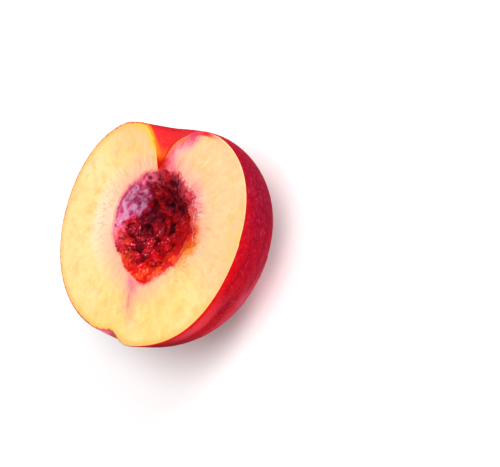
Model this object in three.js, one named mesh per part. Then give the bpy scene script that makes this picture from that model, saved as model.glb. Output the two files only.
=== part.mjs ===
// Peach half with the stone taken out, lying on its back with the cut face up.
//
// Millimetres. +Z points out of the cut face, +Y to the stem end, +X to the right cheek.
// The origin is the middle of the bounding box's underside, on the flat that the half rests on.
//
// The fruit is star-shaped about its core, a point in the cut plane: the skin lies at skinRadius() in each
// direction. The solid is one closed grid of rings. They start at the middle of the resting flat, climb the
// skin to the edge of the cut, cross the cut face to the lip of the stone hollow and go down to its floor.
import * as THREE from 'three';

const degrees = Math.PI / 180;

// The whole fruit, as half its width across the cut, half its length and the depth of this half.
const cheekRadius = 38.6;
const lengthRadius = 36.4;
const halfDepth = 35.5;

// Slow departures from an ellipse in the cut plane, as shares of the radius and the angle of their crest.
const fruitLean = { order: 1, share: 0.021, crest: 127 * degrees };
const fruitTaper = { order: 3, share: 0.014, crest: 32 * degrees };
const fruitFlats = { order: 4, share: -0.018, crest: -7 * degrees };

// Stem dimple: a round shoulder with a steep funnel in its middle, down to the scar of the stem. The cheek on
// its left is a little flatter on top.
const stemAngle = 98.5 * degrees;
const shoulder = { depth: 5.4, reach: 5.5 * degrees };
const funnel = { depth: 13.4, left: 7.6 * degrees, right: 16 * degrees, back: 7 * degrees, power: 2.2 };
const cheekFlat = { depth: 0.6, angle: 116.5 * degrees, reach: 5 * degrees, back: 10 * degrees };

// Tip of the fruit: a shallow dent beside a step between the two cheeks, both fading behind the cut.
const tipAngle = 261 * degrees;
const tip = { dent: 2.1, dentReach: 7 * degrees, step: 0.9, stepReach: 18 * degrees, fade: 4.5 * degrees };
const tipStepWidth = 6 * degrees;

// Bevel of torn flesh where the cut face runs into the stem funnel on its right side.
const bevel = { depth: 2.0, middle: 87 * degrees, reach: 10 * degrees, share: 0.6 };

// Hollow left by the stone: a rounded lip that comes to a point towards the tip of the fruit.
const hollow = { x: 0.6, y: 1.8, radius: 16.4, depth: 11.0, wallPower: 2.5 };
const hollowWidth = { share: 0.02, axis: -10 * degrees };

// Local rises and falls of the lip: the point, a waist beside it, the torn bulge on the right, the flatter
// corner above the bulge and the thin wall that stays below the stem funnel.
const lipBells = [
  { rise: 2.8, angle: 273 * degrees, reach: 19 * degrees },
  { rise: -0.8, angle: 228 * degrees, reach: 8 * degrees },
  { rise: 1.0, angle: -5 * degrees, reach: 12 * degrees },
  { rise: -0.6, angle: 33 * degrees, reach: 22 * degrees },
  { rise: -0.5, angle: 101 * degrees, reach: 10 * degrees },
];
const lipRags = { height: 0.35, waves: [5, 9, 14] };

// Lumps on the hollow's wall, where the flesh filled the pits of the stone: cell size and height. They are
// long towards the tip, and low on the smooth patch of the upper left wall.
const lumps = [
  { size: 4.0, height: 1.8, seed: 3 },
  { size: 2.1, height: 0.7, seed: 11 },
];
const lumpStretch = 1.35;
const lumpLevel = 0.6;
const lumpFade = 0.12;
const smoothPatch = { angle: 162 * degrees, reach: 24 * degrees, calm: 0.75 };

// Small flat that the round back rests on.
const restRadius = 7.0;

// Grid: steps round the fruit, and rings on the flat, the skin, the cut face and the hollow.
const around = 112;
const crowding = 0.62;
const rings = { flat: 2, skin: 23, face: 5, hollow: 17 };

const wrap = (angle) => angle - 2 * Math.PI * Math.round(angle / (2 * Math.PI));
const bell = (angle, middle, reach) => Math.exp(-((wrap(angle - middle) / reach) ** 2));
const wave = ({ order, share, crest }, angle) => share * Math.cos(order * (angle - crest));
const mix = (a, b, share) => a + (b - a) * share;

// How far the stem dimple sinks the skin: bells for the shoulder and for the cheek's flat top, and
// 1 / (1 + r^power) for the funnel, where r is the angle from its axis over a reach that differs to the left,
// the right and behind the cut.
function stemSink(direction, angle) {
  const across = -wrap(angle - stemAngle);
  const behind = Math.asin(Math.min(1, Math.abs(direction.z)));
  const reach = across > 0 ? funnel.right : funnel.left;
  const steep = Math.hypot(across / reach, behind / funnel.back) ** funnel.power;
  const broad = (across ** 2 + behind ** 2) / shoulder.reach ** 2;
  const level = bell(angle, cheekFlat.angle, cheekFlat.reach) * Math.exp(-((behind / cheekFlat.back) ** 2));
  const near = direction.y > 0 ? 1 : 0;
  return near * (funnel.depth / (1 + steep) + shoulder.depth * Math.exp(-broad) + cheekFlat.depth * level);
}

// The tip's dent and the step beside it, which fade away from the cut plane.
function tipSink(direction, angle) {
  const off = wrap(angle - tipAngle);
  const fade = Math.exp(-((Math.asin(Math.min(1, Math.abs(direction.z))) / tip.fade) ** 2));
  const dent = tip.dent * bell(angle, tipAngle, tip.dentReach);
  const step = tip.step * Math.tanh(off / tipStepWidth) * bell(angle, tipAngle, tip.stepReach);
  return fade * (dent - step);
}

// Distance from the core to the skin in a direction.
function skinRadius(direction) {
  const angle = Math.atan2(direction.y, direction.x);
  const flatShare = Math.hypot(direction.x, direction.y);
  const ellipsoid =
    1 / Math.hypot(direction.x / cheekRadius, direction.y / lengthRadius, direction.z / halfDepth);
  const plan = [fruitLean, fruitTaper, fruitFlats].reduce(
    (sum, term) => sum + wave(term, angle) * flatShare ** term.order,
    1,
  );
  return ellipsoid * plan - stemSink(direction, angle) - tipSink(direction, angle);
}

// Depth of the cut's edge below the cut plane: nothing, apart from the bevel beside the stem funnel.
const edgeDepth = (angle) => bevel.depth * bell(angle, bevel.middle, bevel.reach);

// A point of the skin at a share of the way from straight down, 0, to the cut's edge, 1.
function skinPoint(angle, share, restTilt) {
  const level = new THREE.Vector3(Math.cos(angle), Math.sin(angle), 0);
  const edgeTilt = Math.PI / 2 - Math.asin(edgeDepth(angle) / skinRadius(level));
  const tilt = mix(restTilt, edgeTilt, share);
  const direction = new THREE.Vector3(
    Math.sin(tilt) * level.x,
    Math.sin(tilt) * level.y,
    -Math.cos(tilt),
  );
  return direction.multiplyScalar(skinRadius(direction));
}

// Distance from the hollow's middle to its lip.
function lipRadius(angle) {
  const oval = 1 + hollowWidth.share * Math.cos(2 * (angle - hollowWidth.axis));
  const bells = lipBells.reduce((sum, at) => sum + at.rise * bell(angle, at.angle, at.reach), 0);
  const rags = lipRags.waves.reduce((sum, count, i) => sum + Math.sin(count * angle + 2 * i), 0);
  return hollow.radius * oval + bells + (lipRags.height * rags) / lipRags.waves.length;
}

// A repeatable number from 0 to 1 for a lattice cell and one of its three axes.
function cellNumber(i, j, k, axis, seed) {
  const value = Math.sin(i * 127.1 + j * 311.7 + k * 74.7 + axis * 53.3 + seed * 17.9) * 43758.5453;
  return value - Math.floor(value);
}

// Rounded cells: 1 in the middle of a cell of scattered points, falling as the square of the distance.
function cellDome(x, y, z, size, seed) {
  const cell = [x / size, y / size, z / size];
  const base = cell.map(Math.floor);
  let nearest = Infinity;
  for (let i = base[0] - 1; i <= base[0] + 1; i++) {
    for (let j = base[1] - 1; j <= base[1] + 1; j++) {
      for (let k = base[2] - 1; k <= base[2] + 1; k++) {
        const dx = i + cellNumber(i, j, k, 0, seed) - cell[0];
        const dy = j + cellNumber(i, j, k, 1, seed) - cell[1];
        const dz = k + cellNumber(i, j, k, 2, seed) - cell[2];
        nearest = Math.min(nearest, dx * dx + dy * dy + dz * dz);
      }
    }
  }
  return 1 - Math.min(1, nearest);
}

// A point of the hollow at a share of the way from its middle, 0, to its lip, 1: a bowl of depth
// 1 - share^power, raised along the bowl's normal by the lumps, which die out at the lip.
function hollowPointAt(angle, share) {
  const radius = share * lipRadius(angle);
  const x = hollow.x + radius * Math.cos(angle);
  const y = hollow.y + radius * Math.sin(angle);
  const z = -hollow.depth * (1 - share ** hollow.wallPower);
  const slope = (hollow.depth * hollow.wallPower * share ** (hollow.wallPower - 1)) / lipRadius(angle);
  const normal = new THREE.Vector3(-slope * Math.cos(angle), -slope * Math.sin(angle), 1).normalize();
  const calm = 1 - smoothPatch.calm * bell(angle, smoothPatch.angle, smoothPatch.reach) * share ** 3;
  const fade = Math.min(1, (1 - share) / lumpFade) * calm;
  const rise = lumps.reduce(
    (sum, { size, height, seed }) => sum + height * cellDome(x, y / lumpStretch, z, size, seed),
    0,
  );
  return new THREE.Vector3(x, y, z).addScaledVector(normal, fade * (rise - lumpLevel));
}

// Angles round the fruit: even at the hollow, and crowded together at the stem funnel on the skin.
const evenAngle = (k) => stemAngle + 2 * Math.PI * (k / around - 0.5);
const crowdedAngle = (k) => evenAngle(k) - crowding * Math.sin(evenAngle(k) - stemAngle);

// All rings from the resting flat to the hollow's floor. A ring is a list of points.
function makeRings() {
  const steps = Array.from({ length: around }, (_, k) => k);
  const restHeight = -Math.sqrt(1 - (restRadius / cheekRadius) ** 2) * halfDepth;
  const restTilt = Math.atan2(restRadius, -restHeight);
  const list = [];
  for (let ring = 1; ring <= rings.flat; ring++) {
    const radius = (restRadius * ring) / rings.flat;
    list.push(
      steps.map((k) => {
        const angle = crowdedAngle(k);
        return new THREE.Vector3(radius * Math.cos(angle), radius * Math.sin(angle), restHeight);
      }),
    );
  }
  for (let ring = 1; ring <= rings.skin; ring++) {
    const share = Math.sin((Math.PI / 2) * (ring / rings.skin)) ** 0.9;
    list.push(
      steps.map((k) => {
        const point = skinPoint(crowdedAngle(k), share, restTilt);
        point.z = Math.max(point.z, restHeight + 0.02 * ring);
        return point;
      }),
    );
  }
  const edge = list[list.length - 1];
  const lip = steps.map((k) => hollowPointAt(evenAngle(k), 1));
  for (let ring = 1; ring <= rings.face; ring++) {
    const share = ring / rings.face;
    list.push(
      steps.map((k) => {
        const point = edge[k].clone().lerp(lip[k], share);
        point.z = edge[k].z * Math.max(0, 1 - share / bevel.share) ** 2;
        return point;
      }),
    );
  }
  for (let ring = 1; ring < rings.hollow; ring++) {
    const share = Math.cos((Math.PI / 2) * (ring / rings.hollow));
    list.push(steps.map((k) => hollowPointAt(evenAngle(k), share)));
  }
  return { list, start: new THREE.Vector3(0, 0, restHeight), end: hollowPointAt(0, 0) };
}

// The closed surface over the rings, with a fan at either end.
function ringGeometry({ list, start, end }) {
  const points = [start, ...list.flat(), end];
  const at = (ring, k) => 1 + ring * around + (k % around);
  const index = [];
  for (let k = 0; k < around; k++) {
    index.push(0, at(0, k + 1), at(0, k));
    for (let ring = 0; ring + 1 < list.length; ring++) {
      index.push(at(ring, k), at(ring, k + 1), at(ring + 1, k + 1));
      index.push(at(ring, k), at(ring + 1, k + 1), at(ring + 1, k));
    }
    index.push(points.length - 1, at(list.length - 1, k), at(list.length - 1, k + 1));
  }
  const geometry = new THREE.BufferGeometry().setFromPoints(points);
  geometry.setIndex(index);
  geometry.computeVertexNormals();
  geometry.computeBoundingBox();
  const { min, max } = geometry.boundingBox;
  geometry.translate(-(min.x + max.x) / 2, -(min.y + max.y) / 2, -min.z);
  return geometry;
}

const flesh = new THREE.MeshStandardMaterial({ color: 0xfbdc94, roughness: 0.45, metalness: 0 });

const half = new THREE.Mesh(ringGeometry(makeRings()), flesh);
half.name = 'peach_half';

const part = new THREE.Group();
part.add(half);

export default part;
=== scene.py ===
import bpy
import numpy as np
from mathutils import Matrix, Vector


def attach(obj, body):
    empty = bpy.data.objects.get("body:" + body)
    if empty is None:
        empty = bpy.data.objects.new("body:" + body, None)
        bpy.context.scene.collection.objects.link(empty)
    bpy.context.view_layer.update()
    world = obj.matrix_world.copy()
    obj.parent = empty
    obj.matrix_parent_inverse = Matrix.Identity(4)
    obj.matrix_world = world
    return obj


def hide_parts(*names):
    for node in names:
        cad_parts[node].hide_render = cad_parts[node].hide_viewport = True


# Peach half with the stone taken out, lying on its back with the cut face up.
# Lengths in the dictionaries are millimetres and angles are degrees; the frame is in metres.
# +Z points out of the cut face, +Y to the stem end, +X to the right cheek.

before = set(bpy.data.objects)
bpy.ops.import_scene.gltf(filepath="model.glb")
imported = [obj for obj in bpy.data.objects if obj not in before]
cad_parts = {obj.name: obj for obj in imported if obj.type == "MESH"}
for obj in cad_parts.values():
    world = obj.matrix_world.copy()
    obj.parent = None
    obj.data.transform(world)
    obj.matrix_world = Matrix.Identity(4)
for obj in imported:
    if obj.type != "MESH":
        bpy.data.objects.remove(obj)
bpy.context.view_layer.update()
mm = 0.001
print("frame loaded:", sorted(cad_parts))


def wrapAngle(angle):
    # angle brought to -180..180 degrees
    return angle - 360 * np.round(angle / 360)


def level(angle):
    # cosine and sine: the direction of an angle in the plane of the cut
    return np.cos(np.radians(angle)), np.sin(np.radians(angle))


def bell(angle, middle, reach):
    # exp(-(d / reach)^2), with d the angle from the middle
    return np.exp(-(wrapAngle(angle - middle) / reach) ** 2)


def smooth(value, low, high):
    # 3t^2 - 2t^3, with t going from 0 at low to 1 at high
    t = np.clip((value - low) / (high - low), 0, 1)
    return t * t * (3 - 2 * t)


def within(value, full, none):
    # 1 up to full, then down by 3t^2 - 2t^3 to 0 at none
    return smooth(-value, -none, -full)


def cellNumber(i, j, k, axis, seed):
    # fractional part of a large sine: a repeatable number from 0 to 1 for each lattice cell
    value = np.sin(i * 127.1 + j * 311.7 + k * 74.7 + axis * 53.3 + seed * 17.9) * 43758.5453
    return value - np.floor(value)


def cellDome(x, y, z, size, seed):
    # 1 + ln(sum of exp(-7 d^2)) / 7, with d the distance to one scattered point per cell, in cells
    at = [x / size, y / size, z / size]
    base = [np.floor(c) for c in at]
    total = 0
    for n in range(27):
        i, j, k = base[0] + n % 3 - 1, base[1] + n // 3 % 3 - 1, base[2] + n // 9 - 1
        gaps = [cell + cellNumber(i, j, k, axis, seed) - at[axis] for axis, cell in enumerate((i, j, k))]
        total = total + np.exp(-7 * (gaps[0] ** 2 + gaps[1] ** 2 + gaps[2] ** 2))
    return 1 + np.log(total) / 7


def softNoise(x, y, z, size, seed):
    # lattice numbers blended with 3t^2 - 2t^3 along each axis, from -1 to 1
    at = [x / size, y / size, z / size]
    base = [np.floor(c) for c in at]
    t = [(c - b) ** 2 * (3 - 2 * (c - b)) for c, b in zip(at, base)]
    total = 0
    for n in range(8):
        i, j, k = n % 2, n // 2 % 2, n // 4
        weight = (t[0] if i else 1 - t[0]) * (t[1] if j else 1 - t[1]) * (t[2] if k else 1 - t[2])
        total = total + weight * cellNumber(base[0] + i, base[1] + j, base[2] + k, 0, seed)
    return 2 * total - 1


fruit = {
    "cheekRadius": 38.6,
    "lengthRadius": 36.4,
    "halfDepth": 35.5,
    "slowWaves": [(1, 0.021, 127), (3, 0.014, 32), (4, -0.018, -7)],   # order, share of the radius, crest
    "stemAngle": 98.5,
    "shoulderDepth": 5.4,
    "shoulderReach": 5.5,
    "funnelDepth": 13.4,
    "funnelLeft": 7.6,
    "funnelRight": 16,
    "funnelBack": 7,
    "funnelPower": 2.2,
    "cheekFlat": (0.6, 116.5, 5, 10),      # depth, angle, reach round and behind the cut
    "tipAngle": 261,
    "tipDent": 2.1,
    "dentReach": 7,
    "tipStep": 0.9,
    "stepWidth": 6,
    "stepReach": 18,
    "tipFade": 4.5,
    "bevelDepth": 2.0,
    "bevelMiddle": 87,
    "bevelReach": 10,
    "bevelShare": 0.6,
    "restRadius": 7.0,
    "edgeRound": 0.5,      # rounding of the cut's edge
    "faceWave": 0.07,      # drag of the knife on the cut face
    "dragWaves": [(1, 9, 41), (0.5, 3.2, 42), (0.25, 1.2, 43)],      # share, size and seed
    "dragLevel": 0.9,
    "dragFade": 3,
    "tornRise": 0.3,       # torn flesh on the bevel
    "tornSize": 1.6,
    "crumbRise": 0.45,     # shreds at the right of the lip
    "crumbSize": 1.1,
    "crumbLevel": 0.75,
}

hollow = {
    "x": 0.6,
    "y": 1.8,
    "radius": 16.4,
    "depth": 11.0,
    "wallPower": 2.5,
    "widthShare": 0.02,
    "widthAxis": -10,
    "lipBells": [(2.8, 273, 19), (-0.8, 228, 8), (1.0, -5, 12), (-0.6, 33, 22), (-0.5, 101, 10)],
    "ragHeight": 0.35,
    "ragWaves": [5, 9, 14],
    "tears": [(1.9, 0.6, 5), (0.8, 0.3, 6)],                # size, depth, seed of the lip's fine tears
    "tornBells": [(1, 40, 62), (0.8, -28, 34)],             # share, angle and reach of its torn stretches
    "tornLeast": 0.15,
    # size, height, seed and weight in the colour of the lumps
    "lumps": [(4.0, 1.9, 3, 0.6), (2.4, 1.5, 11, 1.0), (1.15, 0.5, 23, 0.6), (0.62, 0.16, 31, 0.3)],
    "lumpLevel": 1.7,
    "lumpStretch": 1.35,
    "lumpBend": 0.5,
    "bendSize": 2.6,
    "lumpFade": 0.07,
    "smoothAngle": 162,
    "smoothReach": 22,
    "smoothCalm": 0.7,
    "lipRound": 0.9,
    "lipVary": 0.5,        # share by which the rounding of the lip varies
    "lipDrop": 1.7,        # how far the rounded lip goes down for each way out
    "lipMove": 0.3,
    "thinWall": 4,         # a wall thinner than this has less rounding
    "wallWay": 1.25,       # way along the wall over the way in plan
}

mesh = {
    "around": 440,
    "flat": 5,
    "skin": 74,
    "face": 50,
    "hollow": 92,
    "crowding": 0.62,      # columns drawn towards the stem notch
    "skinPower": 1.25,     # rings drawn towards the cut's edge
    "faceShift": 0.11,     # rings drawn towards both edges of the cut face
    "wallPower": 1.12,     # rings drawn towards the lip
    "farGap": 40.0,        # gap given to points of another surface
}


def skinRadius(x, y, z):
    # ellipsoid * (1 + slow waves) - stem funnel - tip, for a direction (x, y, z) of length 1
    f = fruit
    angle, flatness = np.degrees(np.arctan2(y, x)), np.hypot(x, y)
    radius = 1 / np.sqrt((x / f["cheekRadius"]) ** 2 + (y / f["lengthRadius"]) ** 2
                         + (z / f["halfDepth"]) ** 2)
    radius = radius * (1 + sum(share * np.cos(np.radians(order * (angle - crest))) * flatness ** order
                               for order, share, crest in f["slowWaves"]))
    behind = np.degrees(np.arcsin(np.minimum(1, np.abs(z))))
    tipFade = np.exp(-(behind / f["tipFade"]) ** 2)
    dent = f["tipDent"] * bell(angle, f["tipAngle"], f["dentReach"])
    step = f["tipStep"] * np.tanh(wrapAngle(angle - f["tipAngle"]) / f["stepWidth"])
    step = step * bell(angle, f["tipAngle"], f["stepReach"])
    return radius - stemSink(angle, behind) * (y > 0) - tipFade * (dent - step)


def stemSink(angle, behind):
    # depth / (1 + r^power) for the funnel, with r the angle over the reach,
    # plus bells for its shoulder and for the flat top of the cheek on its left
    f = fruit
    across = -wrapAngle(angle - f["stemAngle"])
    reach = np.where(across > 0, f["funnelRight"], f["funnelLeft"])
    steep = np.hypot(across / reach, behind / f["funnelBack"]) ** f["funnelPower"]
    broad = (across ** 2 + behind ** 2) / f["shoulderReach"] ** 2
    flat, middle, wide, back = f["cheekFlat"]
    top = bell(angle, middle, wide) * np.exp(-(behind / back) ** 2)
    return f["funnelDepth"] / (1 + steep) + f["shoulderDepth"] * np.exp(-broad) + flat * top


def skinPoints(angle, share, restTilt):
    # direction tilted from straight down to the cut's edge, times the skin's radius
    cosine, sine = level(angle)
    edgeDepth = fruit["bevelDepth"] * bell(angle, fruit["bevelMiddle"], fruit["bevelReach"])
    edgeTilt = np.pi / 2 - np.arcsin(edgeDepth / skinRadius(cosine, sine, 0 * angle))
    tilt = restTilt + (edgeTilt - restTilt) * share
    x, y, z = np.sin(tilt) * cosine, np.sin(tilt) * sine, -np.cos(tilt)
    radius = skinRadius(x, y, z)
    return np.stack([x * radius, y * radius, z * radius], -1)


def raggedness(angle):
    # how far the flesh tore as the stone came out: the highest of the bells, over a least share
    most = np.max([share * bell(angle, middle, reach) for share, middle, reach in hollow["tornBells"]], 0)
    return hollow["tornLeast"] + (1 - hollow["tornLeast"]) * most


def lipRadius(angle):
    # circle * oval + bells + rag waves + fine tears
    h = hollow
    radius = h["radius"] * (1 + h["widthShare"] * np.cos(np.radians(2 * (angle - h["widthAxis"]))))
    radius = radius + sum(rise * bell(angle, middle, reach) for rise, middle, reach in h["lipBells"])
    rags = sum(np.sin(np.radians(count * angle) + 2 * i) for i, count in enumerate(h["ragWaves"]))
    x, y = [h["radius"] * way for way in level(angle)]
    tears = sum(depth * softNoise(x, y, 0 * x, size, seed) for size, depth, seed in h["tears"])
    return radius + h["ragHeight"] * rags / len(h["ragWaves"]) + tears * raggedness(angle)


def hollowPoints(angle, share):
    # bowl z = -depth (1 - share^power), raised along its normal by bent cells that filled the stone's pits
    h = hollow
    lip = lipRadius(angle)
    cosine, sine = level(angle)
    x, y = h["x"] + share * lip * cosine, h["y"] + share * lip * sine
    z = -h["depth"] * (1 - share ** h["wallPower"])
    slope = h["depth"] * h["wallPower"] * share ** (h["wallPower"] - 1) / lip
    normal = np.stack([-slope * cosine, -slope * sine, np.ones_like(slope)], -1)
    normal /= np.linalg.norm(normal, axis=-1, keepdims=True)
    calm = 1 - h["smoothCalm"] * bell(angle, h["smoothAngle"], h["smoothReach"]) * share ** 3
    fade = np.minimum(1, (1 - share) / h["lumpFade"]) * calm
    bend = [h["lumpBend"] * softNoise(x, y, z, h["bendSize"], seed) for seed in (71, 72, 73)]
    domes = [cellDome(x + bend[0], (y + bend[1]) / h["lumpStretch"], z + bend[2], size, seed)
             for size, _, seed, _ in h["lumps"]]
    rise = sum(height * dome for (_, height, _, _), dome in zip(h["lumps"], domes))
    crest = sum(weight * dome for (*_, weight), dome in zip(h["lumps"], domes))
    points = np.stack([x, y, z], -1) + normal * (fade * (rise - h["lumpLevel"]))[..., None]
    return points, crest / sum(weight for *_, weight in h["lumps"])


def gapTo(points, curve):
    # shortest distance in the plane of the cut from each point to a closed curve, segment by segment
    start, step = curve[:, :2], np.roll(curve[:, :2], -1, 0) - curve[:, :2]
    gaps = np.empty(points.shape[:2])
    for ring, row in enumerate(points[..., :2]):
        offset = row[:, None] - start[None]
        along = np.clip((offset * step).sum(-1) / (step ** 2).sum(-1), 0, 1)
        gaps[ring] = np.linalg.norm(offset - along[..., None] * step, axis=-1).min(1)
    return gaps


def ringFaces(rings, around):
    # quads between neighbouring rings, with a fan of triangles from the first and to the last point
    ring, step = np.meshgrid(np.arange(rings - 1), np.arange(around), indexing="ij")
    after = (step + 1) % around
    at = lambda r, s: 1 + r * around + s
    quads = np.stack([at(ring, step), at(ring, after), at(ring + 1, after), at(ring + 1, step)], -1)
    one, two = np.arange(around), (np.arange(around) + 1) % around
    last = rings * around + 1
    start = np.stack([0 * one, at(0, two), at(0, one)], -1)
    end = np.stack([0 * one + last, at(rings - 1, one), at(rings - 1, two)], -1)
    return quads.reshape(-1, 4), start, end


def makeMesh(name, points, faceLists, values=None):
    # a mesh from arrays of points and faces, with one named attribute for each array of values
    data = bpy.data.meshes.new(name)
    loops = np.concatenate([faces.ravel() for faces in faceLists])
    sizes = np.concatenate([np.full(len(faces), faces.shape[1]) for faces in faceLists])
    data.vertices.add(len(points))
    data.vertices.foreach_set("co", (points * mm).astype(np.float32).ravel())
    data.loops.add(len(loops))
    data.loops.foreach_set("vertex_index", loops.astype(np.int32))
    data.polygons.add(len(sizes))
    data.polygons.foreach_set("loop_start", (np.cumsum(sizes) - sizes).astype(np.int32))
    data.polygons.foreach_set("use_smooth", np.ones(len(sizes), bool))
    data.update(calc_edges=True)
    for key, array in (values or {}).items():
        kind = "FLOAT_VECTOR" if array.ndim == 2 else "FLOAT"
        field = "vector" if array.ndim == 2 else "value"
        data.attributes.new(key, kind, "POINT").data.foreach_set(field, array.astype(np.float32).ravel())
    data.validate()
    piece = bpy.data.objects.new(name, data)
    bpy.context.collection.objects.link(piece)
    return piece


def peachGrid():
    # rings from the resting flat up the skin, over the cut face and down the hollow, in core coordinates
    f, h, m = fruit, hollow, mesh
    steps = np.arange(m["around"])
    even = f["stemAngle"] + 360 * (steps / m["around"] - 0.5)
    crowded = even - np.degrees(m["crowding"] * np.sin(np.radians(even - f["stemAngle"])))
    restHeight = -np.sqrt(1 - (f["restRadius"] / f["cheekRadius"]) ** 2) * f["halfDepth"]
    restTilt = np.arctan2(f["restRadius"], -restHeight)

    radius = f["restRadius"] * np.arange(1, m["flat"] + 1)[:, None] / m["flat"]
    flat = np.stack([*(radius * way for way in level(crowded)),
                     np.full((m["flat"], m["around"]), restHeight)], -1)

    # skin: gap is the way along the skin to the cut's edge, close set near the edge
    wayUp = (np.pi / 2 - restTilt) * f["lengthRadius"]
    gap = wayUp * (1 - np.arange(1, m["skin"] + 1) / m["skin"]) ** m["skinPower"]
    skin = skinPoints(crowded[None, :], 1 - gap[:, None] / wayUp, restTilt)
    ringLift = 0.01 * np.arange(1, m["skin"] + 1)[:, None]      # no ring lies in the resting flat
    skin[..., 2] = np.maximum(skin[..., 2], restHeight + ringLift)
    edge = skin[-1].copy()
    skinGap = np.repeat(gap[:, None], m["around"], 1)

    # face: straight from the edge to the lip, close set at both ends, with the bevel's rise
    t = np.arange(1, m["face"] + 1)[:, None] / m["face"]
    share = t - m["faceShift"] * np.sin(2 * np.pi * t)
    lip = hollowPoints(even[None, :], np.ones((1, m["around"])))[0][0]
    face = edge[None] * (1 - share[..., None]) + lip[None] * share[..., None]
    face[..., 2] = edge[None, :, 2] * np.maximum(0, 1 - share / f["bevelShare"]) ** 2
    edgeGap, lipGap = gapTo(face, edge), gapTo(face, lip)

    # hollow: lumps, with the way along the wall to the lip as a negative gap
    u = np.arange(1, m["hollow"])[:, None] / m["hollow"]
    wallShare = 1 - u ** m["wallPower"]
    wall, crest = hollowPoints(even[None, :], wallShare * np.ones((1, m["around"])))
    wallGap = -(1 - wallShare) * lipRadius(even)[None, :] * h["wallWay"]

    # round the cut's edge: both sides move in by share * r (1 - gap / r)^2
    cornerShare = 0.41      # way from a square corner to its round, over the radius
    out = np.stack([*level(crowded), 0 * crowded], -1)
    inward = -(out + np.array([0, 0, 1.0])) / np.sqrt(2)
    edgeRound = f["edgeRound"]
    for points, gaps in ((skin, skinGap), (face, edgeGap)):
        points += cornerShare * edgeRound * (np.maximum(0, 1 - gaps / edgeRound) ** 2)[..., None] * inward

    # round the lip: outwards and down, by an amount that varies round it and is less where the wall is thin
    outLip = np.stack([*level(even), 0 * even - h["lipDrop"]], -1) / 2
    lipRound = h["lipRound"] * (1 + h["lipVary"] * softNoise(lip[:, 0], lip[:, 1], lip[:, 2], 2.0, 8))
    room = np.minimum(1, edgeGap[-1] / h["thinWall"])
    for points, gaps in ((face, lipGap), (wall, -wallGap)):
        near = np.maximum(0, 1 - gaps / lipRound)
        points += h["lipMove"] * (lipRound * room * near ** 2)[..., None] * outLip

    # the knife's drag and the moist grain of the face, nothing at its edge
    x, y, z = face[..., 0], face[..., 1], face[..., 2]
    drag = sum(share * softNoise(x, y, z, size, seed) for share, size, seed in f["dragWaves"])
    face[..., 2] += f["faceWave"] * (drag - f["dragLevel"]) * smooth(edgeGap, 0, f["dragFade"])

    # torn flesh: the bevel at the notch, and shreds at the right of the lip
    torn = within(edgeGap, 3.5, 5.5) * bell(np.degrees(np.arctan2(y, x)), 84, 11)
    face[..., 2] += f["tornRise"] * torn * smooth(edgeGap, 0, 1) * softNoise(x, y, z, f["tornSize"], 51)
    frayed = bell(even, -18, 24)[None, :] * within(lipGap, 0.5, 4.5) * smooth(lipGap, 0, 0.8)
    crumbs = cellDome(x, y, z, f["crumbSize"], 61) - f["crumbLevel"]
    face[..., 2] += f["crumbRise"] * frayed * crumbs

    rings = [flat, skin, face, wall]
    zero = [np.zeros(r.shape[:2]) for r in rings]
    far = [np.full(r.shape[:2], m["farGap"]) for r in rings]
    lists = {
        "skinGap": [far[0], skinGap, zero[2], zero[3]],
        "edgeGap": [zero[0], zero[1], edgeGap, far[3]],
        "lipGap": [far[0], far[1], lipGap, wallGap],
        "crest": [zero[0], zero[1], zero[2] + 0.5, crest],
    }
    points = np.concatenate([r.reshape(-1, 3) for r in rings])
    floorPoint = hollowPoints(np.zeros(1), np.zeros(1))[0]
    points = np.concatenate([[[0, 0, restHeight]], points, floorPoint])
    values = {}
    for key, arrays in lists.items():
        body = np.concatenate([a.ravel() for a in arrays])
        values[key] = np.concatenate([[body[0]], body, [body[-1]]])
    counts = [r.shape[0] for r in rings]
    return points, values, counts


points, values, counts = peachGrid()
lift = -points[:, 2].min()
low, high = points.min(0), points.max(0)
core = Vector((-(low[0] + high[0]) / 2, -(low[1] + high[1]) / 2, lift))    # core of the fruit, in mm
print("peach surface: %d points, core at %s" % (len(points), [round(c, 2) for c in core]))


def colour(code):
    # sRGB hex to linear red, green and blue, with full alpha
    part = np.array([int(code[i:i + 2], 16) for i in (1, 3, 5)]) / 255
    linear = np.where(part < 0.04045, part / 12.92, ((part + 0.055) / 1.055) ** 2.4)
    return (*(float(c) for c in linear), 1.0)


def addNode(tree, kind, inputs=None, **settings):
    # one shader node with its settings, its values and the links into it
    node = tree.nodes.new("ShaderNode" + kind)
    for name, value in settings.items():
        setattr(node, name, value)
    for name, value in (inputs or {}).items():
        if isinstance(value, bpy.types.NodeSocket):
            tree.links.new(value, node.inputs[name])
        else:
            node.inputs[name].default_value = value
    return node


def readAll(tree, keys, vectors, noises, distortion):
    # what the colours go by: attributes of the piece, and noises of their own sizes in mm
    read = {key: addNode(tree, "Attribute", attribute_name=key).outputs["Fac"] for key in keys}
    for key, (vector, size, detail) in noises.items():
        read[key] = addNode(tree, "TexNoise", {"Vector": vectors[vector], "Scale": 1 / (size * mm),
                                               "Detail": detail, "Distortion": distortion}).outputs["Fac"]
    return read


def addAmounts(tree, read, masks, pairs):
    # each mask is a smooth step of a value that is read, and each pair is the product of two amounts
    for key, source, none, full, most in masks:
        read[key] = addNode(tree, "MapRange", {"Value": read[source], "From Min": none, "From Max": full,
                                               "To Max": most}, interpolation_type="SMOOTHSTEP").outputs[0]
    for key, one, two in pairs:
        read[key] = addNode(tree, "Math", {0: read[one], 1: read[two]}, operation="MULTIPLY").outputs[0]


def layColours(tree, read, paints, ground, layers):
    # each colour mixed over those below it by its own amount
    mixed = colour(paints[ground])
    for name, amount in layers:
        mixed = addNode(tree, "Mix", {0: read[amount], 6: mixed, 7: colour(paints[name])},
                        data_type="RGBA").outputs[2]
    return mixed


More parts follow.
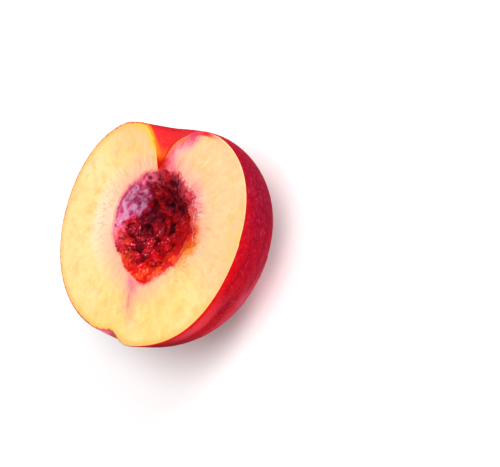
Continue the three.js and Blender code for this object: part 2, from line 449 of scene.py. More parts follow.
def newMaterial(name):
    # an empty material and its tree of nodes
    material = bpy.data.materials.new(name)
    material.use_nodes = True
    material.node_tree.nodes.clear()
    return material, material.node_tree


fleshPaint = {
    "ground": "#E8CE8D",       # ripe yellow flesh
    "cheek": "#E8BC8F",        # the side that had the sun
    "gold": "#E8C879",         # towards the tip on the right
    "deep": "#E8AF63",
    "pale": "#E8DBAB",
    "rosy": "#E8AE92",
    "inner": "#E8DBC2",        # paler round the stone
    "halo": "#E8AB96",         # red pigment spread round the stone
    "blush": "#E89098",
    "streak": "#E0836A",
    "tail": "#D8567F",
    "tailDeep": "#D45C86",
    "tick": "#D99A82",         # ends of the fibres, like short brown lashes
    "lobeGold": "#E8B553",     # deeper yellow beside the notch
    "rim": "#ECAB57",          # under the skin
    "rimLine": "#BC6238",
    "rimRed": "#D0263A",       # skin that curls over the cut's edge
    "glow": "#EFC14C",         # thin flesh lit from behind, left of the notch
    "glowEdge": "#EC9229",
    "tornPale": "#F0A9A2",
    "tornPink": "#E87987",
    "tornDeep": "#D94468",
    "tornEdge": "#ED7B48",
    "tear": "#E0486F",         # pulp torn beside the thin wall
    "clump": "#E2571F",        # pulp that hangs out of the hollow on the right
    "amber": "#EC8A26",        # bruised at the lower right of the hollow
    "bruise": "#DD6A14",
    "scratch": "#D7894A",
    "bridge": "#C0060C",       # the thin wall between notch and hollow
    "lipPink": "#E47D8B",
    "lipRed": "#D73C48",
    "lipSpot": "#D0305C",
    "wall": "#740711",         # pigment that the stone leaves
    "wallCrest": "#B80E16",
    "wallRed": "#CA0A04",
    "wallWarm": "#EA4F1A",
    # painted shade: purple-black deep in the hollow and under its upper lip
    "wallShade": "#310418",
    # painted reflection of the lamps on the smooth wet patch of the wall: lavender, and magenta where it
    # thins over the red
    "wallPink": "#C292AE",
    "wallRose": "#A8386A",
    "wallLip": "#EC7896",
    # darkest red: random dark specks of pulp, and painted shade in the creases between the lumps
    "wallPit": "#37030B",
    "wallDot": "#A7121E",
    "wallGlint": "#E6A0B4",
    "pulp": "#CC1C26",
    "bead": "#F0A48C",
}

fleshNoise = {                 # name: (vector, size in mm, detail)
    "broad": ("place", 11, 2),
    "mottle": ("place", 3.6, 4),
    "grain": ("place", 0.9, 3),
    "fray": ("place", 1.3, 2),
    "spot": ("place", 0.5, 3),
    "wetReflection": ("wrap", 1.1, 4),
    "glintGrain": ("place", 0.7, 3),
    "fibre": ("ray", 0.9, 3),
    "thread": ("thread", 0.9, 3),
    "tick": ("ray", 0.5, 2),
}

dotSize = 1.5                  # mm between the dark dots on the smooth patch with the painted reflection
fleshStretch = {"thread": (0.8, 0.8, 1.2), "wrap": (0.35, 0.35, 4.5)}      # of the ray's place
fleshWander = {"edge": 1.2, "lip": 0.5, "tornLip": 4.0}      # mm by which noise moves a border of colour

fleshMasks = (                 # name, source, value for none, value for most, most
    ("deepSpots", "mottle", 0.50, 0.70, 0.45), ("paleFields", "broad", 0.45, 0.70, 0.35),
    ("rosyGrain", "grain", 0.50, 0.72, 0.14), ("paleGrain", "spot", 0.50, 0.34, 0.14),
    ("paleThreads", "thread", 0.40, 0.84, 0.4), ("rosyThreads", "thread", 0.48, 0.30, 0.25),
    ("haloNear", "lipNear", 9.0, 0.5, 0.8), ("fibres", "fibre", 0.50, 0.70, 0.5),
    ("fibreNear", "lipNear", 9.0, 1.0, 1.0), ("paleFibres", "fibre", 0.46, 0.28, 0.6),
    ("goldPatches", "thread", 0.36, 0.74, 0.8), ("rimNear", "edgeNear", 2.8, 0.3, 0.7),
    ("lineNear", "edgeNear", 0.8, 0.2, 0.95), ("lipGrain", "grain", 0.54, 0.66, 0.85),
    ("glowNear", "edgeNear", 0.9, 0.2, 1.0), ("orangeNear", "edgeNear", 2.8, 1.4, 1.0),
    ("pinkNear", "edgeNear", 5.2, 2.6, 0.9), ("stripes", "fibre", 0.42, 0.60, 0.9),
    ("specks", "spot", 0.46, 0.56, 1.0), ("redNear", "lipNear", 1.4, 0.2, 0.95),
    ("pinkNearLip", "lipNear", 1.4, 0.0, 0.75), ("inHollow", "lipNear", 0.25, -0.35, 1.0),
    ("crests", "crest", 0.60, 0.94, 1.0), ("pits", "crest", 0.68, 0.54, 0.9),
    ("half", "mottle", 0.40, 0.58, 1.0), ("gaps", "crest", 0.98, 0.72, 1.0),
    ("reflectionSpots", "wetReflection", 0.40, 0.59, 0.95), ("rose", "smooth", 0.05, 0.55, 0.9),
    ("reflectionReach", "smooth", 0.35, 0.85, 0.95), ("pulpDark", "grain", 0.48, 0.32, 0.5),
    ("pulpLight", "grain", 0.54, 0.70, 0.35), ("marks", "fibre", 0.64, 0.74, 0.7),
    ("wallDots", "seeds", 0.38, 0.24, 1.0), ("glintSpots", "glintGrain", 0.56, 0.66, 1.0),
    ("tickLines", "tick", 0.53, 0.66, 0.55), ("tailLines", "tick", 0.48, 0.60, 1.0),
    ("beadSpots", "grain", 0.53, 0.67, 0.8),
)

fleshPairs = (                 # name and the two that are multiplied
    ("halo", "haloNear", "haloShare"), ("fibreReach", "fibreNear", "fibreShare"),
    ("streaks", "fibres", "fibreReach"), ("paleStreaks", "paleFibres", "fibreReach"),
    ("lobeGold", "lobe", "goldPatches"), ("rim", "rimNear", "rimShare"), ("glowEdge", "glowNear", "glow"),
    ("tornOrange", "orangeNear", "orangeShare"), ("pinkBand", "pinkNear", "torn"),
    ("pinkStripes", "pinkBand", "stripes"), ("bruises", "bruise", "specks"),
    ("lipRed", "redNear", "redShare"), ("warmWall", "warm", "half"), ("shadedWall", "hollowShade", "gaps"),
    ("wetReflection", "reflectionReach", "reflectionSpots"), ("patchDots", "dots", "wallDots"),
    ("ticks", "tickShare", "tickLines"), ("tailStreaks", "tail", "tailLines"),
    ("rimLine", "lineNear", "lineShare"), ("lipSpots", "lipGrain", "spotShare"),
    ("creaseShade", "pits", "deepDown"), ("scratches", "marks", "scratch"),
    ("pinkLip", "pinkNearLip", "pinkShare"), ("glints", "glint", "glintSpots"),
    ("beadShine", "beads", "beadSpots"), ("pulpShade", "cool", "pulpDark"),
)

fleshLayers = {                # ground: (paint, amount) in the order they are laid
    "ground": (
        ("gold", "gold"), ("pale", "paleFields"), ("cheek", "cheek"), ("deep", "deepSpots"),
        ("inner", "inner"), ("rosy", "rosyGrain"), ("pale", "paleGrain"), ("pale", "paleThreads"),
        ("rosy", "rosyThreads"), ("halo", "halo"), ("blush", "blush"), ("streak", "streaks"),
        ("inner", "paleStreaks"), ("lobeGold", "lobeGold"), ("tick", "ticks"), ("tail", "tail"),
        ("tailDeep", "tailStreaks"), ("rim", "rim"), ("glow", "glow"), ("glowEdge", "glowEdge"),
        ("tornPale", "torn"), ("tornPink", "pinkBand"), ("tornDeep", "pinkStripes"),
        ("tornEdge", "tornOrange"), ("amber", "amber"), ("bruise", "bruises"), ("scratch", "scratches"),
        ("clump", "clump"), ("tear", "tear"), ("tornDeep", "deepTear"), ("rimLine", "rimLine"),
        ("rimRed", "rimRed"), ("lipPink", "pinkLip"), ("bridge", "bridge"), ("lipRed", "lipRed"),
        ("lipSpot", "lipSpots"),
    ),
    "wall": (
        ("wallCrest", "crests"), ("wallRed", "red"), ("wallWarm", "warmWall"), ("wallShade", "shadedWall"),
        ("wallPit", "pulpShade"), ("pulp", "pulpLight"), ("wallRose", "rose"), ("wallPink", "wetReflection"),
        ("wallDot", "patchDots"), ("wallLip", "wallLip"), ("wallPit", "creaseShade"), ("wallGlint", "glints"),
        ("bead", "beadShine"),
    ),
}


def paintFlesh(tree):
    # layers of colour over the ground, each with its own amount from the gaps, the places and noise
    vectors = {"place": addNode(tree, "TexCoord").outputs["Object"],
               "ray": addNode(tree, "Attribute", attribute_name="ray").outputs["Vector"]}
    for key, stretch in fleshStretch.items():
        vectors[key] = addNode(tree, "Mapping", {"Vector": vectors["ray"], "Scale": stretch}).outputs[0]
    read = readAll(tree, ("edgeGap", "lipGap", "crest", *shares["flesh"]), vectors, fleshNoise, 0)
    read["seeds"] = addNode(tree, "TexVoronoi", {"Vector": vectors["place"],
                                                 "Scale": 1 / (dotSize * mm)}).outputs["Distance"]
    # gaps moved to and fro by noise, so that no border of colour is a clean line
    wander = addNode(tree, "Math", {0: read["fray"], 1: -0.5}, operation="ADD").outputs[0]
    ragged = addNode(tree, "Math", {0: read["rag"], 1: fleshWander["tornLip"], 2: fleshWander["lip"]},
                     operation="MULTIPLY_ADD").outputs[0]
    for key, gap, far in (("lipNear", "lipGap", ragged), ("edgeNear", "edgeGap", fleshWander["edge"])):
        read[key] = addNode(tree, "Math", {0: wander, 1: far, 2: read[gap]},
                            operation="MULTIPLY_ADD").outputs[0]
    addAmounts(tree, read, fleshMasks, fleshPairs)
    ground = layColours(tree, read, fleshPaint, "ground", fleshLayers["ground"])
    wall = layColours(tree, read, fleshPaint, "wall", fleshLayers["wall"])
    paint = addNode(tree, "Mix", {0: read["inHollow"], 6: ground, 7: wall}, data_type="RGBA").outputs[2]
    return paint, vectors["place"], vectors["ray"]


finish = {                     # cut flesh, wet hollow
    "grain": (0.8, 0.5),       # size of the moist grain
    "fibreShare": (0.5, 0.15),
    "relief": (0.12, 0.3),
    "reliefShare": (0.25, 0.6),
    "smoothest": (0.4, 0.12),
    "roughest": (0.55, 0.3),
    "specular": (0.4, 0.5),
    "specularTint": ("#FFFFFF", "#EC5C88"),
    "throughShare": (0.35, 0.12),      # share of the light that goes in, and how far
    "throughReach": (2.5, 1.2),
    "juice": (0.1, 0.12),
    "juiceRough": (0.25, 0.06),
}


def makeFlesh(name, wet):
    # ripe peach flesh cut with a knife: moist, lets light in a few millimetres, fine fibres out from the
    # stone; where the stone was pulled out it is wet, dark red and lumpy, with painted lavender reflections
    look = {key: pair[wet] for key, pair in finish.items()}
    material, tree = newMaterial(name)
    paint, place, ray = paintFlesh(tree)
    fine = addNode(tree, "TexNoise", {"Vector": place, "Scale": 1 / (look["grain"] * mm), "Detail": 3.0})
    fibre = addNode(tree, "TexNoise", {"Vector": ray, "Scale": 1 / (0.7 * mm), "Detail": 2.0})
    height = addNode(tree, "Mix", {0: look["fibreShare"], 2: fine.outputs["Fac"], 3: fibre.outputs["Fac"]})
    bump = addNode(tree, "Bump", {"Height": height.outputs[0], "Strength": look["reliefShare"],
                                  "Distance": look["relief"] * mm})
    shine = addNode(tree, "MapRange", {"Value": fine.outputs["Fac"], "From Min": 0.3, "From Max": 0.7,
                                       "To Min": look["smoothest"], "To Max": look["roughest"]})
    shader = addNode(tree, "BsdfPrincipled", {
        "Base Color": paint, "Roughness": shine.outputs[0], "IOR": 1.36, "Normal": bump.outputs[0],
        "Specular IOR Level": look["specular"], "Specular Tint": colour(look["specularTint"]),
        "Subsurface Weight": look["throughShare"], "Subsurface Radius": (1.0, 0.4, 0.2),
        "Subsurface Scale": look["throughReach"] * mm,
        "Coat Weight": look["juice"], "Coat Roughness": look["juiceRough"], "Coat IOR": 1.34})
    addNode(tree, "OutputMaterial", {"Surface": shader.outputs[0]})
    return material


skinPaint = {
    "ground": "#A70B22",      # crimson blush
    "bright": "#C8070B",
    "maroon": "#7F0927",
    "rose": "#BC3551",
    "nearCut": "#E20C03",     # light comes through the flesh beside the cut
    "lowEdge": "#E04A5A",
    "dent": "#F47E98",
    "upper": "#720F2C",
    "lowSheen": "#CF647D",       # paler low on the cheek: painted sheen where the down catches the light
    # painted contact shadow: dark maroon on the skin along the lower cut edge
    "contactShade": "#74050D",
    "funnel": "#D42E31",
    "paleDown": "#E65C58",
    "funnelGold": "#EE811A",
    "funnelDeep": "#AF0007",
    "speck": "#C65164",
    "haze": "#DD4C64",        # the down
    "sheen": "#E090A8",
}

skinNoise = {                 # name: (vector, size in mm, detail)
    "patch": ("place", 16, 3),
    "streak": ("along", 2.6, 4),
    "blotch": ("place", 5, 4),
    "down": ("place", 0.45, 2),
    "dot": ("place", 0.9, 1),
    "grit": ("place", 1.3, 4),
}

skinMasks = (                 # name, source, value for none, value for most, most
    ("bright", "patch", 0.48, 0.66, 0.6), ("maroon", "streak", 0.48, 0.66, 0.75),
    ("rose", "blotch", 0.50, 0.70, 0.2), ("nearCut", "skinGap", 6.5, 0.3, 0.9),
    ("speck", "dot", 0.62, 0.72, 0.25), ("haze", "down", 0.45, 0.65, 0.05),
    ("pale", "down", 0.42, 0.66, 0.3), ("gritDark", "grit", 0.52, 0.36, 0.4),
    ("gritPale", "grit", 0.52, 0.68, 0.26),
)

skinLayers = (                # paint and amount, in the order they are laid
    ("bright", "bright"), ("upper", "upper"), ("maroon", "maroon"), ("rose", "rose"), ("speck", "speck"),
    ("haze", "haze"), ("nearCut", "cutGlow"), ("maroon", "gritDark"), ("rose", "gritPale"),
    ("lowEdge", "lowEdge"), ("dent", "dent"), ("funnel", "funnel"), ("paleDown", "downGlow"),
    ("funnelGold", "funnelGold"), ("funnelDeep", "funnelDeep"), ("lowSheen", "lowSheen"), ("contactShade", "contactShade"),
)


def makeSkin():
    # downy peach skin: thin, matt, blushed in streaks from stem to tip, with short pale down that
    # catches the light
    material, tree = newMaterial("downySkin")
    vectors = {"place": addNode(tree, "TexCoord").outputs["Object"],
               "along": addNode(tree, "Attribute", attribute_name="along").outputs["Vector"]}
    read = readAll(tree, ("skinGap", *shares["skin"]), vectors, skinNoise, 0.6)
    addAmounts(tree, read, skinMasks, (("cutGlow", "nearCut", "cutLight"), ("downGlow", "pale", "downy")))
    paint = layColours(tree, read, skinPaint, "ground", skinLayers)
    bump = addNode(tree, "Bump", {"Height": read["down"], "Strength": 0.3, "Distance": 0.08 * mm})
    shader = addNode(tree, "BsdfPrincipled", {
        "Base Color": paint, "Roughness": 0.75, "IOR": 1.4, "Specular IOR Level": 0.03,
        "Normal": bump.outputs[0],
        "Subsurface Weight": 0.08, "Subsurface Radius": (1.0, 0.3, 0.15), "Subsurface Scale": 1.5 * mm,
        "Sheen Weight": 0.25, "Sheen Roughness": 0.12, "Sheen Tint": colour(skinPaint["sheen"])})
    addNode(tree, "OutputMaterial", {"Surface": shader.outputs[0]})
    return material


hollowRun = {"radius": 17, "stretch": 0.25}      # fibres run out from a lip of this radius
skinRun = {"radius": 35, "stretch": 0.2}         # streaks run along a drum of this radius


def whereabouts():
    # each point's place, its angles about the hollow and the core, its way from the core and past the stem
    x, y, z = points.T
    lipAngle = np.degrees(np.arctan2(y - hollow["y"], x - hollow["x"]))
    coreAngle = np.degrees(np.arctan2(y, x))
    return x, y, z, lipAngle, coreAngle, np.hypot(x, y), wrapAngle(coreAngle - fruit["stemAngle"])


def faceShares():
    # where each colour lies on the cut face: bells of angle times smooth steps of the gaps to edge and lip
    x, y, z, lipAngle, coreAngle, fromCore, pastStem = whereabouts()
    lipGap, edgeGap = values["lipGap"], values["edgeGap"]
    on = {}      # share of each colour, or of each mask that it is multiplied with
    on["cheek"] = 0.9 * smooth(0.8 * x + y, -2, 16)
    on["gold"] = smooth(0.5 * x - y, 2, 22)
    on["rag"] = raggedness(lipAngle)
    on["redShare"] = on["rag"] * (1 - 0.7 * bell(lipAngle, -8, 16))
    on["inner"] = 0.8 * bell(lipAngle, 184, 34) * within(lipGap, 7, 10.5)
    on["lobe"] = bell(coreAngle, 118, 18) * smooth(fromCore, 19, 27)
    on["lobe"] += 0.85 * bell(coreAngle, 4, 14) * within(edgeGap, 3, 8)
    on["haloShare"] = 1 + 0.15 * bell(lipAngle, 20, 40) - 0.5 * bell(lipAngle, 178, 24)
    on["haloShare"] = np.clip(on["haloShare"] - 0.7 * bell(lipAngle, 318, 26), 0, 1)
    on["fibreShare"] = 0.35 + 0.55 * bell(lipAngle, 118, 34) + 0.65 * bell(lipAngle, 24, 30)
    on["fibreShare"] *= 1 - bell(lipAngle, 190, 60) * within(lipGap, 1.5, 4.5)
    on["blush"] = 0.8 * bell(lipAngle, 34, 20) * within(lipGap, 1.5, 6)
    on["rimShare"] = np.clip(0.15 + bell(coreAngle, 140, 36) + bell(coreAngle, 255, 72), 0, 1)
    on["lineShare"] = within(np.abs(wrapAngle(coreAngle - 188)), 74, 84)
    on["spotShare"] = bell(lipAngle, 24, 30) * within(lipGap, 0.6, 3.4) * smooth(lipGap, 0, 0.5)
    on["tickShare"] = bell(lipAngle, 168, 46) * within(lipGap, 6.5, 9.5) * smooth(lipGap, 1.2, 3.2)
    on["pinkShare"] = 1 - 0.9 * bell(lipAngle, -14, 28) - 0.7 * bell(lipAngle, 230, 30)
    on["scratch"] = np.maximum(bell(lipAngle, -30, 42), 0.5 * bell(lipAngle, 150, 30))
    on["scratch"] *= smooth(lipGap, 1.5, 3.5) * within(lipGap, 6, 10)
    tailReach = 0.38 * within(lipGap, 6, 16) + 0.62 * within(lipGap, 1, 4.5)
    on["tail"] = bell(lipAngle - 0.75 * lipGap, 259.5, 6.5) * smooth(lipGap, 0, 0.8) * tailReach
    roundLip = hollowRun["radius"] * lipAngle / 57      # way round the lip
    on["tail"] *= 0.9 + 0.5 * softNoise(roundLip, 0 * x, 0.2 * lipGap, 1.1, 81)
    # clumps and bruises at the lip, with a border that noise moves
    cloud = 1.2 * softNoise(x, y, z, 2.4, 93) - lipGap
    on["amber"] = bell(lipAngle, -18, 19) * smooth(cloud, -4.6, -1.2)
    on["bruise"] = 0.75 * bell(lipAngle, -26, 14) * smooth(cloud, -7.0, -1.5)
    on["clump"] = 0.95 * bell(lipAngle, -3, 9) * smooth(cloud, -2.6, -0.9)
    # round the stem notch: torn bevel, thin flesh lit from behind, and the thin wall to the hollow
    on["torn"] = within(edgeGap, 5.2, 7.2) * smooth(coreAngle, 65, 74) * within(coreAngle, 96.5, 99)
    on["torn"] *= smooth(lipGap, -0.5, 1.5) * (edgeGap > 0) * (lipGap < mesh["farGap"])
    on["orangeShare"] = on["torn"] * (1 - 0.8 * bell(coreAngle, 73, 7))
    on["rimRed"] = bell(coreAngle, 66, 6.5) * within(edgeGap, 1.1, 1.7)
    on["glow"] = 0.95 * smooth(pastStem, -1, 1.5) * within(pastStem, 10, 32) * within(edgeGap, 0.8, 3.0)
    on["glow"] *= smooth(fromCore, 23.5, 27.5)
    on["bridge"] = np.maximum(bell(coreAngle, 94, 6) * within(fromCore, 21.2, 23),
                              bell(coreAngle, 92, 5.5) * within(fromCore, 19.4, 20.8))
    on["tear"] = np.maximum(bell(coreAngle, 85.5, 5) * within(fromCore, 20.3, 22.8),
                            0.85 * bell(coreAngle, 80, 7) * within(fromCore, 20.5, 25.5))
    on["tear"] *= 0.6 + 0.4 * softNoise(x, 0.3 * y, z, 0.7, 97)
    on["deepTear"] = 0.9 * bell(coreAngle, 75, 5) * within(edgeGap, 0.8, 2.8) * (fromCore > 24)
    return on


def hollowShares():
    # where each colour lies in the hollow: bells of angle times smooth steps of depth, lumps and noise
    x, y, z, lipAngle = whereabouts()[:4]
    crest, depth = values["crest"], np.maximum(0, -values["lipGap"])
    on = {}
    # across is the way to the lower right, where the flesh is thin and lets light in
    across = 0.8 * (x - hollow["x"]) - 0.6 * (y - hollow["y"])
    on["red"] = smooth(across, -1.5, 4.5) * (1 - 0.4 * smooth(depth, 3.2, 6))
    warmLeft = 1.6 * bell(lipAngle, 214, 22) * within(depth, 1.0, 3.8)
    on["warm"] = np.maximum(smooth(across, 4, 9.5) * (1 - 0.6 * smooth(depth, 3.2, 5.6)), warmLeft)
    on["warm"] = np.minimum(1, on["warm"])
    on["cool"] = 1 - on["warm"]
    # painted shade: purple-black deep on the far side of the hollow, at the foot of the left wall and under
    # the upper right lip, mostly between the lumps
    farSide = np.maximum(bell(lipAngle, 100, 50), 0.85 * bell(lipAngle, 172, 42))
    shadedSides = (
        np.exp(-((depth - 9.2) / 3.9) ** 2) * farSide,
        0.6 * bell(lipAngle, 236, 16) * within(depth, 5, 9) * smooth(depth, 0.8, 2.5),
        0.95 * bell(lipAngle, 66, 32) * within(depth, 5, 10) * smooth(depth, 0.7, 2.2),
    )
    on["hollowShade"] = np.max(shadedSides, 0)
    # painted reflection on the smooth patch, narrower towards the floor, with a border that noise and lumps
    # move
    stray = 12 * softNoise(x, y, z, 2.6, 91) + 30 * (0.74 - crest) * smooth(depth, 1, 3)
    reach = np.maximum(2.5, 36 - 4.6 * (depth - 1))
    offPatch = np.abs(wrapAngle(lipAngle - 153)) - stray
    on["smooth"] = within(offPatch, reach - 7, reach + 9) * within(depth, 6, 8.8)
    on["smooth"] *= (0.4 + 0.6 * smooth(depth, 0.2, 1.1)) * (1 - 0.3 * bell(lipAngle, 124, 20))
    # painted shade in the creases between the lumps, below the lip, less where light comes through and on
    # the smooth patch
    on["deepDown"] = smooth(depth, 0.6, 3) * (1 - 0.7 * on["warm"]) * (1 - 0.85 * on["smooth"])
    on["dots"] = bell(lipAngle, 124, 26) * smooth(on["smooth"], 0.2, 0.6)
    # beads of light on the lip and on the lumps
    lipBeads = 0.45 + 0.9 * softNoise(x, y, z, 0.9, 92)
    lipBells = ((1.3, 192, 17), (1.2, 122, 20), (0.5, 48, 28))
    lipShare = np.max([share * bell(lipAngle, middle, reach) for share, middle, reach in lipBells], 0)
    on["wallLip"] = np.clip(within(depth, 0.6, 3.4) * lipShare * lipBeads, 0, 1)
    clusters = smooth(softNoise(x, y, z, 2.2, 96), -0.5, 0.3) * smooth(crest, 0.66, 0.82)
    on["glint"] = np.maximum(bell(lipAngle, 222, 44), 0.32) * smooth(depth, 1.0, 3.0)
    on["glint"] *= (1 - 0.8 * on["warm"]) * clusters * (1 - 0.8 * bell(lipAngle, 92, 24))
    on["glint"] = np.maximum(on["glint"], bell(lipAngle, 190, 12) * within(depth, 1, 4))
    on["beads"] = bell(lipAngle, 262, 34) * on["warm"] * smooth(crest, 0.64, 0.80)
    return on


def skinShares():
    # where each colour lies on the skin: bells of angle times smooth steps of the way down from the cut
    x, y, z, _, coreAngle, fromCore, pastStem = whereabouts()
    skinGap = values["skinGap"]
    on = {}
    on["cutLight"] = 0.1 + 0.9 * bell(coreAngle, -44, 42)
    on["upper"] = 0.8 * bell(coreAngle, 30, 26)
    # painted sheen: paler pink low on the cheek, where the down catches the light
    on["lowSheen"] = 0.55 * bell(coreAngle, -33, 22) * smooth(skinGap, 8, 17)
    on["lowSheen"] *= 0.75 + 0.5 * softNoise(x, y, z, 5, 94)
    # painted contact shadow: dark maroon along the lower cut edge of the skin
    on["contactShade"] = 0.8 * bell(coreAngle, -72, 15) * smooth(skinGap, 0.3, 2.5)
    lowPatch = smooth(softNoise(skinGap, 0.3 * x, 0.3 * y, 3.2, 95), -0.5, 0.5)
    on["lowEdge"] = 0.8 * bell(coreAngle, -52, 22) * lowPatch
    on["lowEdge"] *= within(skinGap, 4, 13) * smooth(skinGap, 0.5, 2)
    on["dent"] = np.minimum(1, bell(coreAngle, 249, 10) * (1.2 + 0.6 * softNoise(x, y, z, 1.1, 98)))
    on["dent"] *= within(skinGap, 2, 6)
    # the funnel behind the stem notch, by how deep it lies
    behind = np.degrees(np.arcsin(np.clip(-z / np.linalg.norm(points, axis=1), 0, 1)))
    sink = stemSink(coreAngle, behind) / (fruit["funnelDepth"] + fruit["shoulderDepth"]) * (y > 0)
    goldReach = 0.8 + 1.0 * within(fromCore, 24, 31)
    on["funnel"] = smooth(sink, 0.06, 0.4)
    on["funnelGold"] = smooth(pastStem, -4, 2) * smooth(sink, 0.05, 0.3)
    on["funnelGold"] *= within(skinGap / goldReach, 0.3, 1.7)
    on["funnelDeep"] = 0.95 * smooth(sink, 0.66, 0.84)
    on["downy"] = np.maximum(on["funnel"], 0.9 * bell(coreAngle, -56, 24))
    return on


def grainWays():
    # places for the noise of fibres and streaks: a circle of one radius by a stretched way,
    # which is the way out from the stone in the flesh, and the way from tip to stem in the skin
    x, y, z, lipAngle = whereabouts()[:4]
    turn, drum = np.arctan2(z, x), skinRun["radius"]
    ray = [*(hollowRun["radius"] * way for way in level(lipAngle)), hollowRun["stretch"] * values["lipGap"]]
    along = [drum * np.cos(turn), skinRun["stretch"] * y, drum * np.sin(turn)]
    return {"ray": np.stack(ray, -1) * mm, "along": np.stack(along, -1) * mm}


shares = {"flesh": {**faceShares(), **hollowShares()}, "skin": skinShares()}
values.update({**shares["flesh"], **shares["skin"], **grainWays()})
print("colours placed: %d attributes" % len(values))

peach = makeMesh("peachHalf", points + np.array(core), ringFaces(sum(counts), mesh["around"]), values)
for material in (makeSkin(), makeFlesh("cutFlesh", False), makeFlesh("wetHollow", True)):
    peach.data.materials.append(material)
# quads of the skin, the face and the hollow, then the two fans of triangles
rows = [counts[0] + counts[1] - 1, counts[2], counts[3], 1, 1]
slots = np.repeat([0, 1, 2, 0, 2], np.array(rows) * mesh["around"]).astype(np.int32)
peach.data.polygons.foreach_set("material_index", slots)
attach(peach, "root")
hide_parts("peach_half")
print("peachHalf: %d faces, %d materials" % (len(peach.data.polygons), len(peach.data.materials)))

shreds = {
    "seed": 4,
    "steps": 14,
    "sides": 6,
    # count, lip angle and its spread, gap at the inner and outer end with their spread, radius, hue
    "groups": [
        (11, 20, 32, 0.1, 0.4, 1.7, 1.0, 0.07, 0.34),
        (8, 26, 26, -0.8, 0.5, 1.4, 0.8, 0.07, 0.26),
        (4, 24, 8, -2.6, 0.8, 3.6, 1.2, 0.07, 0.3),
        (12, -12, 12, -1.0, 0.8, 1.1, 0.9, 0.10, 0.72),
        (4, 103, 5, -3.0, 1.0, -0.6, 0.2, 0.05, 0.38),
        (3, -14, 5, 0.4, 0.4, 3.4, 0.8, 0.045, 0.95),
    ],
    "sway": 3.4,          # sideways wander
    "arch": 0.14,         # rise over the lip
    "sink": 0.7,          # share of the radius that lies in the flesh
    "berry": "#D43C62",
    "pale": "#F3C2BE",
    "orange": "#E4641A",
    "brown": "#9C4E24",
}


def shredTubes():
    # tapered tubes: path = lip + gap along t, with a sine's sway sideways and a sine's arch,
    # and the radius goes as sin(pi t)^0.6
    s, h = shreds, hollow
    draw = np.random.default_rng(s["seed"])
    t = np.linspace(0, 1, s["steps"])
    rows = []
    for count, middle, spread, inner, innerSpread, outer, outerSpread, radius, hue in s["groups"]:
        even = lambda low, high: draw.uniform(low, high, count)
        rows.append(np.stack([
            middle + spread * even(-1, 1), inner + innerSpread * even(-1, 1),
            outer + outerSpread * even(-1, 1), even(-1, 1), even(0, 2 * np.pi),
            radius * even(0.6, 1.4), np.clip(hue + even(-0.1, 0.08), 0, 1), even(0.3, 1)], -1))
    start, inner, outer, side, phase, radius, hue, arch = np.concatenate(rows).T[..., None]
    sway = s["sway"] * side * (np.sin(phase + 3 * t) - np.sin(phase))
    angle = start + np.degrees(sway / h["radius"])
    gap = inner + (outer - inner) * t
    lip = lipRadius(angle)
    path = hollowPoints(angle, np.minimum(1, 1 + gap / lip))[0]
    path[..., :2] += np.stack([np.maximum(0, gap) * way for way in level(angle)], -1)
    path[..., 2] += s["arch"] * arch * np.sin(np.pi * t) + radius * (1 - s["sink"])
    tangent = np.gradient(path, axis=1)
    tangent /= np.linalg.norm(tangent, axis=-1, keepdims=True)
    across = np.cross(tangent, [0, 0, 1.0])
    across /= np.linalg.norm(across, axis=-1, keepdims=True)
    above = np.cross(across, tangent)
    turn = 2 * np.pi * np.arange(s["sides"]) / s["sides"]
    width = (radius * (np.sin(np.pi * (0.03 + 0.94 * t)) ** 0.6))[..., None, None]
    circle = np.cos(turn)[:, None] * across[:, :, None] + np.sin(turn)[:, None] * above[:, :, None]
    rings = path[:, :, None] + width * circle
    return rings, np.broadcast_to(hue[..., None], rings.shape[:3])


def tubeFaces(count, steps, sides):
    # quads between neighbouring rings of each tube, with a polygon at each end
    tube, step, side = np.meshgrid(np.arange(count), np.arange(steps - 1), np.arange(sides), indexing="ij")
    at = lambda k, i, j: (k * steps + i) * sides + j % sides
    quads = np.stack([at(tube, step, side), at(tube, step, side + 1), at(tube, step + 1, side + 1),
                      at(tube, step + 1, side)], -1).reshape(-1, 4)
    k, j = np.arange(count)[:, None], np.arange(sides)[None, :]
    return quads, at(k, 0, sides - 1 - j), at(k, steps - 1, j)


def makeShredMaterial():
    # torn fibres of peach pulp: wet, half clear, berry red to pale pink, orange and brown at the right
    material, tree = newMaterial("wetFibre")
    hue = addNode(tree, "Attribute", attribute_name="hue").outputs["Fac"]
    place = addNode(tree, "TexCoord").outputs["Object"]
    grain = addNode(tree, "TexNoise", {"Vector": place, "Scale": 1 / (0.6 * mm), "Detail": 2.0})
    mixed = addNode(tree, "Math", {0: grain.outputs["Fac"], 1: 0.5, 2: hue}, operation="MULTIPLY_ADD")
    read = {}
    for key, source, none, full in (("pale", mixed.outputs[0], 0.65, 0.3), ("orange", hue, 0.5, 0.7),
                                    ("brown", hue, 0.84, 0.94)):
        read[key] = addNode(tree, "MapRange", {"Value": source, "From Min": none,
                                               "From Max": full}).outputs[0]
    paint = layColours(tree, read, shreds, "berry", [(key, key) for key in read])
    shader = addNode(tree, "BsdfPrincipled", {
        "Base Color": paint, "Roughness": 0.35, "IOR": 1.36, "Subsurface Weight": 0.3,
        "Subsurface Radius": (1.0, 0.4, 0.2), "Subsurface Scale": 0.5 * mm})
    addNode(tree, "OutputMaterial", {"Surface": shader.outputs[0]})
    return material


shredRings, shredHue = shredTubes()
shredFaces = tubeFaces(*shredRings.shape[:3])
shredPoints = shredRings.reshape(-1, 3) + np.array(core)
lipShreds = makeMesh("lipShreds", shredPoints, shredFaces, {"hue": shredHue.ravel()})
lipShreds.data.materials.append(makeShredMaterial())
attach(lipShreds, "root")
print("lipShreds: %d strands" % len(shredRings))


view = {
    "turn": (45.3, -17.4, -11.9),     # lean of the cut face away, its direction, and roll
    "distance": 785,
    "width": 151,                     # width of the picture at the core
    "picture": (500, 467),
    "corePixel": (150.1, 228.2),
}


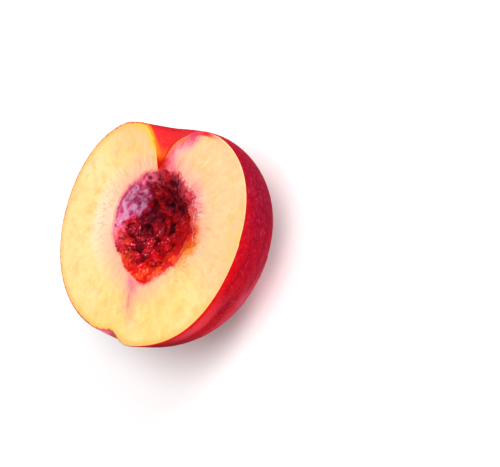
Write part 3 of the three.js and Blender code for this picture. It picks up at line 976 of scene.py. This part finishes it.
def viewAxes():
    # rows are the picture's right, up and towards the camera: lean about a turned axis, after a roll
    lean, way, roll = np.radians(view["turn"])
    about = lambda a: np.array([[np.cos(a), -np.sin(a), 0], [np.sin(a), np.cos(a), 0], [0, 0, 1]])
    tip = np.array([[np.cos(lean), 0, -np.sin(lean)], [0, 1, 0], [np.sin(lean), 0, np.cos(lean)]])
    return about(way) @ tip @ about(-way) @ about(roll)


axes = viewAxes()
perPixel = view["width"] / view["picture"][0]
acrossPixels, upPixels = np.array(view["picture"]) / 2 - view["corePixel"]
aim = np.array(core) + axes[0] * acrossPixels * perPixel - axes[1] * upPixels * perPixel
cameraPlace = np.array(core) + axes[2] * view["distance"]
cameraData = bpy.data.cameras.new("camera")
cameraData.lens = cameraData.sensor_width * view["distance"] / view["width"]
cameraData.clip_start = 0.05
camera = bpy.data.objects.new("camera", cameraData)
bpy.context.collection.objects.link(camera)
back = Vector(cameraPlace - aim).normalized()
right = Vector(axes[1]).cross(back).normalized()
cameraTurn = Matrix((right, back.cross(right), back)).transposed()
camera.matrix_world = Matrix.Translation(Vector(cameraPlace) * mm) @ cameraTurn.to_4x4()
bpy.context.scene.camera = camera

lights = {                     # place to the right, up and near, size and watts
    "keySoftbox": ((500, 1200, 1100), 620, 13.4),
    "cameraSoftbox": ((-420, 300, 1540), 700, 10.0),
}
studio = {
    "light": "#FFFFFF",        # of the lamps and the surroundings
    "strength": 0.62,
    "floor": "#FCFCFC",
    "floorReach": 3000.0,      # half the floor's width
}

for name, (place, size, power) in lights.items():
    lampData = bpy.data.lights.new(name, "AREA")
    lampData.shape = "DISK"
    lampData.size = size * mm
    lampData.energy = power
    lampData.color = colour(studio["light"])[:3]
    lamp = bpy.data.objects.new(name, lampData)
    bpy.context.collection.objects.link(lamp)
    spot = Vector(np.array(place) @ axes + np.array(core)) * mm
    lampTurn = (spot - core * mm).to_track_quat("Z", "Y").to_matrix()
    lamp.matrix_world = Matrix.Translation(spot) @ lampTurn.to_4x4()

world = bpy.data.worlds.new("studio")
bpy.context.scene.world = world
world.use_nodes = True
background = world.node_tree.nodes["Background"]
background.inputs["Color"].default_value = colour(studio["light"])
background.inputs["Strength"].default_value = studio["strength"]
bpy.context.scene.view_settings.view_transform = "Standard"
bpy.context.scene.view_settings.look = "Medium High Contrast"

# painted studio floor: matt, pale and flat
floorMaterial, floorTree = newMaterial("floorPaint")
floorPlace = addNode(floorTree, "TexCoord").outputs["Object"]
floorGrain = addNode(floorTree, "TexNoise", {"Vector": floorPlace, "Scale": 1 / (2 * mm), "Detail": 2.0})
floorBump = addNode(floorTree, "Bump", {"Height": floorGrain.outputs["Fac"], "Strength": 0.05,
                                        "Distance": 0.05 * mm})
floorShader = addNode(floorTree, "BsdfPrincipled", {"Base Color": colour(studio["floor"]), "Roughness": 0.8,
                                                    "Normal": floorBump.outputs[0]})
addNode(floorTree, "OutputMaterial", {"Surface": floorShader.outputs[0]})
corners = np.array([[-1, -1, 0], [1, -1, 0], [1, 1, 0], [-1, 1, 0]]) * studio["floorReach"]
floor = makeMesh("floor", corners, [np.array([[0, 1, 2, 3]])])
floor.data.materials.append(floorMaterial)
print("floor, light and camera set")
